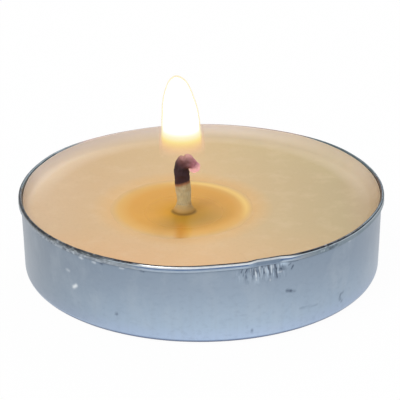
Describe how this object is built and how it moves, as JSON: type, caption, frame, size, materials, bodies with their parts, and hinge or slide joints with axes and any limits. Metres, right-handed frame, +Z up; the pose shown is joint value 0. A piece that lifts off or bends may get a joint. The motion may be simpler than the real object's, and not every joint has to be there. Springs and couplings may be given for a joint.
{
  "type": "tea light candle",
  "caption": "Lit tea light: a low drawn aluminium cup with a dented rolled rim, filled with cream wax, with a curled wick and a flame.",
  "frame": {"origin": "centre of the cup's foot, on the surface that it stands on", "axes": "+Z up from the foot towards the flame; the dent in the rim faces -Y and a little +X"},
  "size_m": [0.038, 0.038, 0.0216],
  "materials": {
    "aluminium": "bright",
    "wax": "satin",
    "melted_wax": "gloss",
    "wick": "matte",
    "tinned_steel": "satin",
    "flame": "gloss"
  },
  "bodies": {
    "root": {"cup": "aluminium", "wax": "wax", "melt_pool": "melted_wax", "wick": "wick", "wick_sustainer": "tinned_steel", "flame": "flame"}
  },
  "joints": []
}
